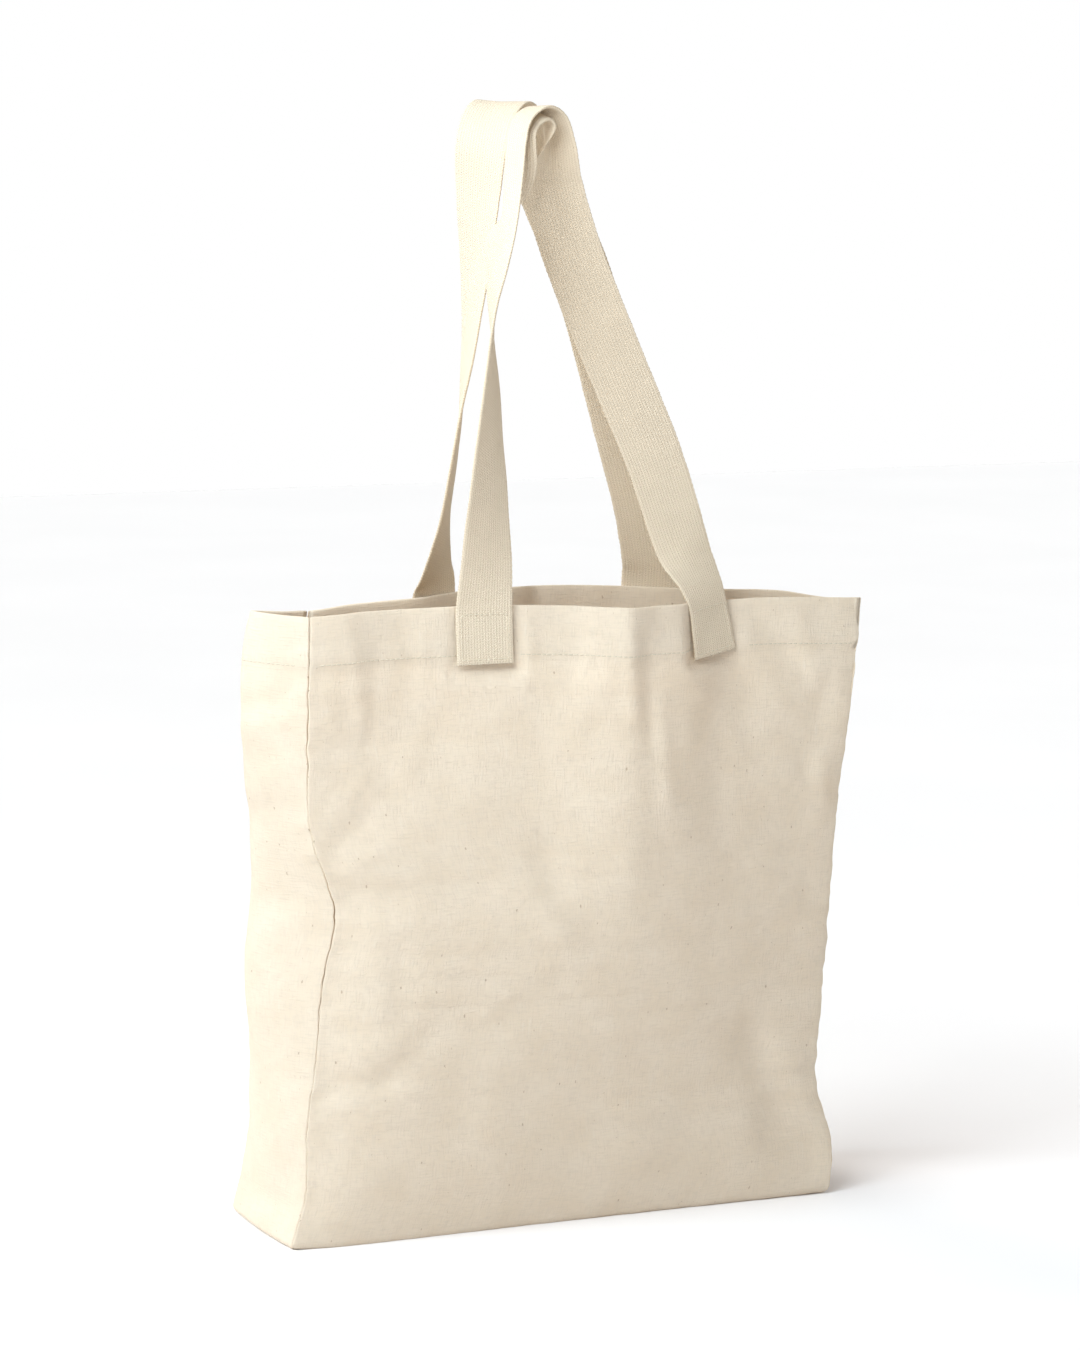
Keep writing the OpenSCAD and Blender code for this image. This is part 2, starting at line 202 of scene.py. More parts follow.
def canvas_material(name, colour, shade):
    """Plain-weave unbleached cotton: crossing yarns, thick and thin threads, mottling and seed flecks."""
    n = Nodes(bpy.data.materials.new(name))
    uv = sewn_uv(n)
    wander = n.vector("MULTIPLY", n.add("TexNoise", {"Vector": uv, "Scale": 125.0}).outputs["Color"],
                      (2.4 * MM, 2.4 * MM, 0))
    parts = n.add("SeparateXYZ", {0: n.vector("ADD", uv, wander)})
    u, v = parts.outputs[0], parts.outputs[1]
    warp = n.math("SINE", n.times(u, TAU / CANVAS_PITCH))
    weft = n.math("SINE", n.times(v, TAU / CANVAS_PITCH))
    weave = n.times(warp, weft)
    tall = n.noise(n.vector("MULTIPLY", uv, (1.0, 0.12, 0.0)), 950)
    wide = n.noise(n.vector("MULTIPLY", uv, (0.12, 1.0, 0.0)), 950)
    yarn = n.math("ADD", n.between(tall, 0.42, 0.75), n.between(wide, 0.42, 0.75))
    cloud = n.noise(uv, 38, 3.0)
    fuzz = n.noise(uv, 2600, 1.0)
    base = n.mix(n.between(cloud, 0.3, 0.7), colour, shade)
    base = n.mix(n.times(yarn, 0.5), base, darker(colour, 0.88))
    # painted shade: the base colour is darker where the weave is lowest, in the hollows between crossing yarns
    base = n.mix(n.times(n.between(weave, 0.2, -1.0), 0.16), base, darker(colour, 0.78))
    slub = n.between(n.noise(n.vector("MULTIPLY", uv, (1.0, 0.16, 0.0)), 420, 1.0), 0.62, 0.78)
    base = n.mix(n.times(slub, 0.35), base, (0.93, 0.86, 0.74, 1))
    bent = n.vector("ADD", n.vector("MULTIPLY", uv, (1.0, 0.55, 0.0)),
                    n.vector("MULTIPLY", n.add("TexNoise", {"Vector": uv, "Scale": 600.0}).outputs["Color"],
                             (1.4 * MM, 1.4 * MM, 0)))
    seeds = flecks(n, bent, 12 * MM, 0.4 * MM, 0.3)
    base = n.mix(n.times(seeds, 0.55), base, SEED)
    specks = flecks(n, bent, 5.2 * MM, 0.22 * MM, 0.25)
    base = n.mix(n.times(specks, 0.4), base, SPECK)
    height = n.math("ADD", n.times(weave, 0.35), yarn)
    height = n.math("ADD", height, n.times(fuzz, 0.6))
    bump = n.add("Bump", {"Strength": 0.8, "Distance": 0.2 * MM, "Height": height})
    rough = n.add("MapRange", {"Value": cloud, "To Min": 0.86, "To Max": 0.96}).outputs[0]
    shader = n.add("BsdfPrincipled", {"Base Color": base, "Normal": bump.outputs[0], "Roughness": rough})
    shader.inputs["Specular IOR Level"].default_value = 0.18
    shader.inputs["Sheen Weight"].default_value = 0.08
    shader.inputs["Sheen Roughness"].default_value = 0.6
    return cloth_output(n, shader, 0.24)


RIB_PITCH = 1.9 * MM
PICK_PITCH = 1.6 * MM


def webbing_material(name, colour):
    """Herringbone cotton webbing: lengthwise ribs and slanting picks."""
    n = Nodes(bpy.data.materials.new(name))
    uv = sewn_uv(n)
    parts = n.add("SeparateXYZ", {0: uv})
    u, v = parts.outputs[0], parts.outputs[1]
    rib = n.math("ABSOLUTE", n.math("SINE", n.times(u, math.pi / RIB_PITCH)))
    zigzag = n.math("PINGPONG", u, RIB_PITCH)
    slant = n.math("ADD", v, n.times(zigzag, 0.8))
    pick = n.math("SINE", n.times(slant, TAU / PICK_PITCH))
    fuzz = n.noise(uv, 2400)
    long_run = n.noise(n.vector("MULTIPLY", uv, (1.0, 0.04, 0.0)), 900, 1.0)
    cloud = n.noise(uv, 60)
    # painted shade: the base colour is darker in the grooves between the ribs and at the low points of the
    # picks, where the bump is lowest
    groove = n.math("SUBTRACT", 1.0, rib)
    dark = n.math("ADD", n.times(n.between(groove, 0.55, 1.0), 0.5),
                  n.times(n.between(pick, -0.2, -1.0), 0.35))
    base = n.mix(n.between(cloud, 0.3, 0.7), colour, darker(colour, 0.97))
    base = n.mix(n.times(dark, 0.85), base, darker(colour, 0.66, 0.62, 0.54))
    base = n.mix(n.times(n.between(long_run, 0.55, 0.75), 0.12), base, (0.7, 0.62, 0.48, 1))
    seeds = flecks(n, uv, 6 * MM, 0.3 * MM, 0.12)
    base = n.mix(n.times(seeds, 0.5), base, (0.4, 0.27, 0.15, 1))
    height = n.math("ADD", rib, n.times(pick, 0.45))
    height = n.math("ADD", height, n.times(fuzz, 0.5))
    bump = n.add("Bump", {"Strength": 0.9, "Distance": 0.25 * MM, "Height": height})
    shader = n.add("BsdfPrincipled", {"Base Color": base, "Roughness": 0.9, "Normal": bump.outputs[0]})
    shader.inputs["Specular IOR Level"].default_value = 0.2
    shader.inputs["Sheen Weight"].default_value = 0.08
    shader.inputs["Sheen Roughness"].default_value = 0.55
    return cloth_output(n, shader, 0.1)


def thread_material(name, colour):
    """Twisted cotton thread."""
    n = Nodes(bpy.data.materials.new(name))
    twist = n.noise(n.add("TexCoord").outputs["Object"], 2500)
    base = n.mix(twist, darker(colour, 0.82), colour)
    bump = n.add("Bump", {"Strength": 0.5, "Distance": 0.05 * MM, "Height": twist})
    shader = n.add("BsdfPrincipled", {"Base Color": base, "Roughness": 0.75, "Normal": bump.outputs[0]})
    shader.inputs["Specular IOR Level"].default_value = 0.3
    shader.inputs["Sheen Weight"].default_value = 0.15
    return n.finish(shader)


def floor_material():
    """Smooth white paper sweep."""
    n = Nodes(bpy.data.materials.new("floor_paper"))
    tone = n.between(n.noise(n.add("TexCoord").outputs["Object"], 3), 0.2, 0.8)
    base = n.mix(tone, (0.945, 0.92, 0.918, 1), (0.965, 0.938, 0.936, 1))
    shader = n.add("BsdfPrincipled", {"Base Color": base, "Roughness": 0.95})
    shader.inputs["Specular IOR Level"].default_value = 0.0
    return n.finish(shader)


CANVAS_COLOUR = (0.93, 0.83, 0.685, 1)
CANVAS_SHADE = (0.9, 0.79, 0.635, 1)
canvas = canvas_material("canvas", CANVAS_COLOUR, CANVAS_SHADE)
webbing = webbing_material("webbing", (0.835, 0.725, 0.57, 1))
thread = thread_material("thread", (0.8, 0.71, 0.56, 1))

# -------------------- curves and grids


def curve(points, s):
    """Smooth curve through points, at the positions s (an array) counted in points."""
    points = np.asarray(points, float)
    s = np.asarray(s, float)
    last = len(points) - 1
    i = np.clip(np.floor(s).astype(int), 0, last - 1)
    t = (s - i)[..., None]
    a, b, c, d = (points[np.clip(i + k, 0, last)] for k in (-1, 0, 1, 2))
    return 0.5 * (2 * b + (c - a) * t + (2 * a - 5 * b + 4 * c - d) * t ** 2
                  + (3 * b - a - 3 * c + d) * t ** 3)


def level_curve(heights, values, z):
    """Smooth curve through values given at rising heights, at the heights z."""
    heights = np.asarray(heights, float)
    values = np.asarray(values, float).reshape(len(heights), -1)
    slope = np.gradient(values, heights, axis=0)
    i = np.clip(np.searchsorted(heights, z, side="right") - 1, 0, len(heights) - 2)
    span = (heights[i + 1] - heights[i])[..., None]
    t = np.clip((z - heights[i])[..., None] / span, 0, 1)
    return ((1 + 2 * t) * (1 - t) ** 2 * values[i] + t * (1 - t) ** 2 * span * slope[i]
            + t ** 2 * (3 - 2 * t) * values[i + 1] + t ** 2 * (t - 1) * span * slope[i + 1])


def unit(v):
    return v / np.maximum(np.linalg.norm(v, axis=-1, keepdims=True), 1e-9)


def grid_normals(points, flip=1):
    """Normals of a grid of points: rows run upwards, columns run across."""
    along_rows = np.gradient(points, axis=0)
    along_cols = np.gradient(points, axis=1)
    return unit(np.cross(along_cols, along_rows)) * flip


def new_object(name, mesh, material):
    """Link a mesh with one material into the scene."""
    mesh.materials.append(material)
    obj = bpy.data.objects.new(name, mesh)
    bpy.context.collection.objects.link(obj)
    return obj


def grid_object(name, points, uv, material, thickness=0.0, flip=False, closed=False):
    """A mesh from a grid of points in mm, with its flat cut's coordinates in mm as UVs."""
    rows, cols = points.shape[:2]
    index = np.arange(rows * cols).reshape(rows, cols)
    a, b, c, d = index[:-1, :-1], index[:-1, 1:], index[1:, 1:], index[1:, :-1]
    faces = np.stack([a, b, c, d], axis=-1).reshape(-1, 4)
    if closed:
        wrap = np.stack([index[:-1, -1], index[:-1, 0], index[1:, 0], index[1:, -1]], axis=-1)
        faces = np.concatenate([faces, wrap.reshape(-1, 4)])
    if flip:
        faces = faces[:, ::-1]
    mesh = bpy.data.meshes.new(name)
    mesh.from_pydata((points.reshape(-1, 3) * MM).tolist(), [], faces.tolist())
    layer = mesh.uv_layers.new(name="cut")
    flat = (uv.reshape(-1, 2) * MM)[faces.ravel()]
    layer.data.foreach_set("uv", flat.astype(np.float32).ravel())
    mesh.polygons.foreach_set("use_smooth", [True] * len(faces))
    obj = new_object(name, mesh, material)
    if thickness:
        solid = obj.modifiers.new("thickness", "SOLIDIFY")
        solid.thickness = thickness * MM
        solid.offset = 0
        solid.use_even_offset = False
        apply_modifiers(obj)
    return obj


def apply_modifiers(obj):
    """Replace obj's mesh with its evaluated one."""
    graph = bpy.context.evaluated_depsgraph_get()
    mesh = bpy.data.meshes.new_from_object(obj.evaluated_get(graph))
    obj.modifiers.clear()
    obj.data = mesh


def lumps(points, size, seed):
    """Smooth noise from -1 to 1 at each point, with bumps about size across (mm)."""
    flat = points.reshape(-1, 3) / size + seed * 17.3
    return np.array([noise.noise(Vector(p)) for p in flat]).reshape(points.shape[:-1]) * 1.6


# -------------------- the bag's shape, in mm
# The seams, folds, rims and straps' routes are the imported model's, but for the upper half of FRONT_RIGHT, the
# right part of FRONT_RIM and four points near the top of FRONT_ROUTE, which stand a little elsewhere.

CLOTH = 0.65            # thickness of one ply
SEAM_ROLL = 0.6         # radius that a sewn edge turns in
RIM_ROLL = 0.75         # radius of the folded hem
RIM = 394               # height of the rim
HEM = 32                # depth of the hem
HEM_LINE = RIM - HEM
HEM_STEP = 2.5          # size of the hem's mesh, up the bag
PANEL_WIDTH, BACK_WIDTH, GUSSET_WIDTH = 381, 362, 102    # about how wide the panels are between seams
HEM_STITCH = 365        # height of the row of stitches that holds the hem
PANEL_CUT, GUSSET_CUT, WEBBING_CUT, BASE_CUT = (0.381, 0.43), (0.102, 0.43), (0.038, 0.75), (0.392, 0.11)
STEP = 3.0              # size of the cloth's mesh
ROLL_STEPS = 5
TUCK = 5.5              # radius that the walls turn in at the floor
HEIGHTS = [0, 30, 76, 120, 165, 211, 260, 315, 362, RIM]    # of the seams' stations

FRONT_LEFT = [(-188, -50, 0), (-178, -49, 30), (-176, -48, 76), (-170, -47, 120), (-166, -46, 165),
              (-158, -46, 211), (-173, -44, 260), (-175, -42, 315), (-174, -41, 362), (-173, -39, 394)]
FRONT_RIGHT = [(191, -50, 0), (193, -49, 30), (180, -48, 76), (182, -48, 120), (185, -48, 165),
               (188, -48, 211), (193, -46, 260), (203, -42, 315), (209, -39, 359), (213, -36, 390)]
BACK_LEFT = [(-189, 51, 0), (-182, 50, 30), (-176, 48, 76), (-175, 47, 120), (-174, 46, 165),
             (-172, 44, 211), (-170, 41, 258), (-163, 34, 312), (-154, 27, 358), (-150, 24, 389)]
BACK_RIGHT = [(190, 51, 0), (190, 50, 30), (181, 48, 76), (182, 45, 120), (184, 41, 165),
              (186, 33, 211), (190, 22, 258), (196, 6, 310), (201, -6, 356), (203, -10, 387)]
LEFT_FOLD = [(-190, 0, 0), (-191, 0, 30), (-190, 0, 76), (-192, 0, 120), (-195, 0, 165),
             (-193, -1, 211), (-198, 0, 260), (-204, 0, 315), (-199, 4, 361), (-190, 6, 392)]
RIGHT_FOLD = [(190, 0, 0), (192, 0, 30), (190, 0, 76), (189, 0, 120), (186, -2, 165),
              (182, -5, 211), (178, -8, 258), (174, -14, 312), (171, -19, 357), (169, -21, 388)]
# Rim of each wide panel: share of its width, set back (+Y) from the line between its corners, rise.
FRONT_RIM = [(0, 0, 0), (0.1, 2, 2), (0.3, 4, 3), (0.424, 1.5, 2), (0.537, -10, 1), (0.591, -7.5, 1),
             (0.66, -5.5, 1), (0.749, 11.2, 0), (0.847, 8, 1), (1, 0, 0)]
BACK_RIM = [(0, 0, 0), (0.1, 4, 3), (0.22, 12, 5), (0.315, 29, 6), (0.43, 37, 7), (0.53, 40, 7),
            (0.64, 36, 6), (0.72, 29, 5), (0.8, 18, 5), (0.9, 6, 5), (1, 0, 0)]
# At the seams' stations: how much of the rim's shape each has, and how far the middle bellies out.
RIM_SHARE = [0, 0, 0, 0.02, 0.05, 0.12, 0.25, 0.45, 0.8, 1]
BELLY = [-4, 0, 3, 5, 6, 6, 5, 3, 1, 0]


def sewing_drift(z, seed):
    """How far a sewn line wanders sideways (x, y) at heights z, in mm."""
    share = np.clip(z / 20, 0, 1) * np.clip((RIM - z) / 30, 0, 1)
    wander = [[noise.noise(Vector((h / 11, seed + k, 0))) + 0.5 * noise.noise(Vector((h / 4.5, seed + k, 9)))
               for h in np.ravel(z)] for k in (0, 40)]
    return np.array(wander).T.reshape(np.shape(z) + (2,)) * share[..., None] * 0.9


def tuck(z):
    """How far the walls have turned in under the bag at heights z."""
    return TUCK - np.sqrt(TUCK ** 2 - np.clip(TUCK - z, 0, TUCK) ** 2)


def seam_line(seam, z):
    """Points of a seam at heights z."""
    points = level_curve(HEIGHTS, seam, z)
    points[..., :2] += sewing_drift(z, seam[0][0] + seam[0][1])
    points[..., :2] -= np.sign(seam[0][:2]) * tuck(z)[..., None]
    return points


def wide_points(left, right, rim, out, u, z):
    """The outer face of a wide panel, at arrays u (share of the width) and z (height)."""
    a, b = seam_line(left, z), seam_line(right, z)
    rim = np.asarray(rim, float)
    edge = curve(rim, np.interp(u, rim[:, 0], np.arange(len(rim))))
    share = level_curve(HEIGHTS, RIM_SHARE, z)[..., 0]
    belly = level_curve(HEIGHTS, BELLY, z)[..., 0] * np.sin(math.pi * u)
    points = a + (b - a) * u[..., None]
    points[..., 1] += edge[..., 1] * share + out * belly
    points[..., 2] += edge[..., 2] * share
    return points


def gusset_points(front, fold, back, sharpness, u, z):
    """The outer face of a gusset: u from the front seam to the back one, pressed along its middle."""
    a, m, b = seam_line(front, z), level_curve(HEIGHTS, fold, z), seam_line(back, z)
    m[..., 0] -= np.sign(fold[0][0]) * tuck(z)
    reach = (1 - np.abs(2 * u - 1) ** sharpness)[..., None]
    return a + (b - a) * u[..., None] + (m - (a + b) / 2) * reach


def even_shares(length, step):
    return np.linspace(0, 1, max(2, int(round(length / step))) + 1)


def fold_height(points, folds, side=0):
    """Height in mm of the pressed folds and dents at each point. A fold runs from one point to another on the
    panel (across, up), with a half width, a height and how softly it starts and ends."""
    total = np.zeros(points.shape[:2])
    where = points[..., (side, 2)]
    for ax, az, bx, bz, width, height in folds:
        a, b = np.array([ax, az], float), np.array([bx, bz], float)
        run = b - a
        length = max(np.linalg.norm(run), 1e-6)
        along = ((where - a) @ run) / length
        away = np.abs(((where - a) @ np.array([-run[1], run[0]])) / length)
        beyond = np.maximum(np.maximum(-along, along - length), 0)
        total += height * np.exp(-(away / width) ** 2 - (beyond / (1.3 * width)) ** 2)
    return total


GATHER = 4              # how far from a seam its puckers are deepest


def puckers(distance, height, seed, pitch, amount):
    """Small gathers beside a seam: nothing on it, most about GATHER mm away, gone six times as far away."""
    where = np.stack([height / pitch, distance / (2.2 * pitch), np.full_like(height, seed * 7.7)], axis=-1)
    ripple = np.array([noise.noise(Vector(p)) for p in where.reshape(-1, 3)]).reshape(height.shape) * 2
    return ripple * amount * (distance / GATHER) * np.exp(1 - distance / GATHER) * (distance > 0)


def rolled(points, normals, axis, first, radius, angle):
    """Rows or columns that carry a sheet's edge round a small roll, into the bag, and their normals."""
    at = (lambda g, k: g[k]) if axis == 0 else (lambda g, k: g[:, k])
    edge, inner = (at(points, 0), at(points, 1)) if first else (at(points, -1), at(points, -2))
    n = at(normals, 0 if first else -1)
    e = unit(edge - inner)
    e = unit(e - (e * n).sum(-1, keepdims=True) * n)
    centre = edge - n * radius
    turned, faces = [], []
    angle = np.broadcast_to(np.asarray(angle, float), edge.shape[:1])[:, None]
    for k in range(1, ROLL_STEPS + 1):
        a = angle * k / ROLL_STEPS
        radial = n * np.cos(a) + e * np.sin(a)
        turned.append(centre + radial * radius)
        faces.append(radial)
    if first:
        turned, faces = turned[::-1], faces[::-1]
    return np.stack(turned, axis=axis), np.stack(faces, axis=axis)


def extended(points, normals, axis, first, radius, angle):
    """A sheet and its normals with one edge rolled."""
    more, faces = rolled(points, normals, axis, first, radius, angle)
    pair = (more, points) if first else (points, more)
    faces = (faces, normals) if first else (normals, faces)
    return np.concatenate(pair, axis=axis), np.concatenate(faces, axis=axis)


def flat_coordinates(points):
    """Lengths along the sheet, across and up from its first corner, as it was cut."""
    across = np.linalg.norm(np.diff(points, axis=1), axis=-1).mean(axis=0)
    up = np.linalg.norm(np.diff(points, axis=0), axis=-1).mean(axis=1)
    u, v = np.concatenate([[0], np.cumsum(across)]), np.concatenate([[0], np.cumsum(up)])
    return np.stack(np.meshgrid(u, v), axis=-1)


hem_lines = {}          # panel: shares of its width, points and normals along that row


def cloth_panel(name, surface, width, angles, height_of, out):
    """A sewn panel with its side and bottom edges rolled in and a double hem.

    surface(u, z) gives the outer face, width about how wide it is, angles(z) the inside angles at the two
    seams, and height_of(points, u, z) the folds' height. out is +1 if rows x columns turn outwards."""
    hem_rows = int(HEM / HEM_STEP)
    z = np.concatenate([[0.45, 0.8, 1.3, 2, 3, 4.2], np.linspace(5.8, HEM_LINE, int(HEM_LINE / STEP)),
                        np.linspace(HEM_LINE, RIM, hem_rows)[1:]])
    share = even_shares(width, STEP)
    left_angle, right_angle = angles(z)
    gap = [(CLOTH / 2 - 0.1 + SEAM_ROLL * (1 + np.cos(a / 2))) / np.sin(a / 2)
           for a in (left_angle, right_angle)]
    ul, ur = gap[0] / width, 1 - gap[1] / width
    u = ul[:, None] + (ur - ul)[:, None] * share[None, :]
    zz = np.repeat(z[:, None], len(share), axis=1)
    outer = surface(u, zz)
    normals = grid_normals(outer, out)
    outer = outer + normals * height_of(outer, u, zz)[..., None]
    normals = grid_normals(outer, out)
    body = outer - normals * CLOTH / 2
    points, faces = extended(body, normals, 1, True, SEAM_ROLL, math.pi - left_angle / 2)
    points, faces = extended(points, faces, 1, False, SEAM_ROLL, math.pi - right_angle / 2)
    inner = points[-hem_rows:-1][::-1] - faces[-hem_rows:-1][::-1] * 2 * RIM_ROLL
    points, faces = extended(points, faces, 0, True, SEAM_ROLL, math.radians(70))
    points, faces = extended(points, faces, 0, False, RIM_ROLL, math.pi)
    points = np.concatenate([points, inner], axis=0)
    hem_row = int(np.argmin(np.abs(z - HEM_STITCH)))
    hem_lines[name] = (u[hem_row], outer[hem_row], normals[hem_row])
    return grid_object(name, points, flat_coordinates(points), canvas, CLOTH, flip=out < 0)


def angle_between(a, b):
    return np.arccos(np.clip((unit(a) * unit(b)).sum(-1), -1, 1))


OWN_REACH, OTHER_REACH = 0.04, 0.12     # shares of the widths that a corner's angle is measured over


def seam_angles(own, own_end, other, other_end, z):
    """Angle inside the corner where two panels meet, at each height. An end is 0 or 1."""
    one = np.full_like(z, 1.0)
    corner = own(one * own_end, z)
    mine = own(one * abs(own_end - OWN_REACH), z) - corner
    theirs = other(one * abs(other_end - OTHER_REACH), z) - corner
    return np.clip(angle_between(mine, theirs), math.radians(50), math.radians(130))


# Outer faces, each a function of u and z.
front_surface = partial(wide_points, FRONT_LEFT, FRONT_RIGHT, FRONT_RIM, -1)
back_surface = partial(wide_points, BACK_LEFT, BACK_RIGHT, BACK_RIM, 1)
left_surface = partial(gusset_points, FRONT_LEFT, LEFT_FOLD, BACK_LEFT, 1.7)
right_surface = partial(gusset_points, FRONT_RIGHT, RIGHT_FOLD, BACK_RIGHT, 1.3)

# Folds and dents: from (across, up) to (across, up), half width, height.
FRONT_FOLDS = [
    (34, 398, 36, 330, 5, 1.3), (57, 330, 59, 272, 7, 1.5), (46, 372, 48, 310, 6, -1.0),
    (-158, 206, -122, 199, 7, 1.7), (-154, 220, -118, 222, 7, -1.5), (-120, 188, -118, 150, 9, -1.1),
    (-160, 232, -128, 252, 6, 0.9), (-163, 246, -136, 272, 6, -0.8), (-166, 262, -142, 292, 6, 0.7),
    (-162, 100, -128, 106, 8, -1.5), (-128, 106, -100, 132, 9, -1.2), (-164, 122, -130, 128, 9, 1.0),
    (-164, 150, -136, 146, 7, 0.7), (-164, 166, -140, 160, 7, -0.6), (-160, 78, -146, 84, 6, -0.7),
    (-160, 90, -110, 92, 10, 1.2), (-160, 66, -140, 64, 9, -0.7), (-168, 48, -140, 44, 8, 0.7),
    (-22, 236, -18, 222, 12, -2.0), (-28, 214, -16, 196, 12, 1.3), (-40, 205, -10, 180, 22, 1.2),
    (130, 108, 152, 56, 15, -4.2), (148, 44, 176, 32, 14, -2.6), (175, 82, 158, 90, 12, 1.6),
    (178, 60, 190, 58, 8, 1.4),
    (-112, 396, -104, 330, 30, -3.0), (-148, 384, -140, 330, 7, 1.2), (-128, 372, -134, 318, 6, -1.1),
    (-96, 380, -98, 346, 7, 0.9), (-86, 352, -110, 300, 9, 0.8), (-150, 330, -120, 288, 8, -0.9),
    (-30, 384, -34, 340, 8, 0.7), (6, 388, 0, 352, 7, -0.8), (24, 352, 0, 318, 10, 0.8),
    (128, 372, 150, 326, 8, 1.2), (140, 380, 168, 344, 7, -1.2), (118, 350, 128, 300, 10, -1.1),
    (165, 378, 178, 340, 7, 1.3), (182, 330, 168, 286, 9, -1.6), (172, 300, 184, 262, 8, 1.2),
    (80, 352, 104, 322, 9, 0.9), (96, 330, 84, 280, 14, -1.0), (150, 250, 168, 200, 16, -1.2),
    (60, 180, 80, 120, 26, 1.2), (-90, 120, -50, 60, 24, 1.0), (10, 60, 70, 50, 22, -0.8),
    (-60, 150, -20, 176, 8, 0.5), (-52, 138, -14, 160, 7, -0.45), (-20, 200, 10, 150, 9, 0.5),
]
BACK_FOLDS = [
    (3, 398, 5, 330, 9, -2.0), (17, 398, 19, 345, 7, 2.4), (-120, 380, -90, 300, 16, 2.4),
    (120, 340, 90, 250, 18, -3.0), (60, 200, 90, 120, 22, -2.6), (-90, 180, -130, 110, 20, 2.6),
    (-160, 230, -120, 215, 12, -3.0), (150, 90, 120, 60, 16, -3.5), (0, 120, 40, 80, 24, 2.2),
]
FRONT_FEET = (-57, 104)
BACK_FEET = (-59, 93)


def foot_hold(points, feet):
    """0 where a handle's end is sewn on, so that the cloth lies flat under it, 1 elsewhere."""
    free = np.ones(points.shape[:2])
    for x in feet:
        beside = np.maximum(np.abs(points[..., 0] - x) - 20, 0) / 9
        below = np.maximum(357 - points[..., 2], 0) / 9
        free *= np.clip(np.hypot(beside, below), 0, 1)
    return free


# How the front panel stands out along its pressed crease: height, reach, softness and steepness of the ridge.
CREASE_X = 36
CREASE = [(0, 0, 0.2, 1.1), (60, 3, 0.2, 1.1), (130, 8, 0.14, 1.1), (211, 13, 0.07, 1.1),
          (280, 15, 0.03, 1.1), (330, 13, 0.016, 1.5), (362, 10, 0.012, 2.4), (RIM, 8, 0.012, 3.0)]
# How far it rounds out just beside the left seam: height, reach.
SHOULDER = [(0, 5), (40, 12), (90, 14), (180, 15), (222, 12), (262, 6), (310, 2), (RIM, 0)]


def crease_height(points, z):
    """A ridge that rises slowly from the left seam and falls more steeply to the right one."""
    levels = np.asarray(CREASE, float)
    reach, soft, steep = np.moveaxis(level_curve(levels[:, 0], levels[:, 1:], z), -1, 0)
    x, left, right = points[..., 0], points[:, :1, 0], points[:, -1:, 0]
    rise = np.clip((x - left) / (CREASE_X - left), 0, 2) ** (steep + 0.4)
    fall = np.clip((right - x) / (right - CREASE_X), 0, 2) ** steep
    return -soft * np.log(np.exp(-rise / soft) + np.exp(-fall / soft)) * reach


def shoulder_height(points, u, z):
    """A rounding that starts beside the left seam and fades towards the right one."""
    levels = np.asarray(SHOULDER, float)
    beside = points[..., 0] - points[:, :1, 0]
    reach = level_curve(levels[:, 0], levels[:, 1], z)[..., 0]
    return reach * (1 - np.exp(-(beside / 24) ** 1.4)) * (1 - u) ** 0.8


def hem_mark(z, groove):
    """The hem's lower edge: a groove that deep, with the doubled cloth a little prouder above it."""
    return 0.25 / (1 + np.exp(-(z - HEM_LINE) / 1.2)) - groove * np.exp(-((z - HEM_LINE) / 1.6) ** 2)


def edge_hold(left, right, z, margin):
    """0 at the seams and the floor, 1 further than margin (mm) from a seam and 14 mm up."""
    hold = np.clip(np.minimum(left, right) / margin, 0, 1) * np.clip(z / 14, 0, 1)
    return hold * hold * (3 - 2 * hold)


def wide_height(folds, seed, feet, crease=False):
    """The folds, lumps and puckers of a wide panel, as a function of points, u and z."""
    def height_of(points, u, z):
        left, right = u * PANEL_WIDTH, (1 - u) * PANEL_WIDTH
        hold = edge_hold(left, right, z, 18)
        total = fold_height(points, folds) * hold
        if crease:
            total += crease_height(points, z) + shoulder_height(points, u, z)
        total += lumps(points, 62, seed) * 1.3 * hold
        total += lumps(points, 27, seed + 1) * 0.42 * hold
        total += lumps(points, 11, seed + 2) * 0.13 * hold
        total += puckers(left, z, seed + 3, 9, 0.45) + puckers(right, z, seed + 4, 9, 0.45)
        total += puckers(z, left, seed + 5, 13, 0.35)
        total += puckers(np.abs(z - HEM_LINE), left, seed + 6, 8, 0.16) + hem_mark(z, 0.35)
        return total * foot_hold(points, feet)
    return height_of


LEFT_FOLDS = [
    (-44, 352, -6, 336, 8, -1.6), (-42, 336, -10, 322, 8, 1.2), (-40, 300, 0, 285, 9, 0.9),
    (-44, 276, -8, 268, 8, -0.9), (-44, 212, -12, 196, 8, 1.0), (-46, 186, -16, 176, 8, -0.8),
    (-30, 120, -20, 60, 12, 0.8), (-20, 24, 20, 26, 9, -1.2),
]
RIGHT_FOLDS = [(-30, 300, 10, 280, 9, 1.2), (-34, 180, 10, 160, 10, -1.2), (-30, 80, 20, 90, 12, 1.0)]
LEAN = [0, 200, 290, 345, RIM], [0, 0, -3.5, 0.5, 4.5]     # height, how far the left gusset stands out


def gusset_height(seed, folds, lean=None):
    """The folds, lumps and puckers of a gusset, as a function of points, u and z."""
    def height_of(points, u, z):
        left, right = u * GUSSET_WIDTH, (1 - u) * GUSSET_WIDTH
        hold = edge_hold(left, right, z, 14)
        total = lumps(points, 40, seed) * 1.3 * hold + lumps(points, 18, seed + 1) * 0.35 * hold
        if lean:
            total += np.sin(math.pi * np.clip(u * 1.25, 0, 1)) * level_curve(*lean, z)[..., 0]
        total += fold_height(points, folds, side=1) * hold + lumps(points, 11, seed + 2) * 0.12 * hold
        total += puckers(left, z, seed + 3, 9, 0.4) + puckers(right, z, seed + 4, 9, 0.4)
        return total + hem_mark(z, 0.3)
    return height_of


def corner_angles(own, first, second):
    """The angles inside a panel's two corners, by height. A neighbour is its surface and end."""
    return lambda z: (seam_angles(own, 0, *first, z), seam_angles(own, 1, *second, z))


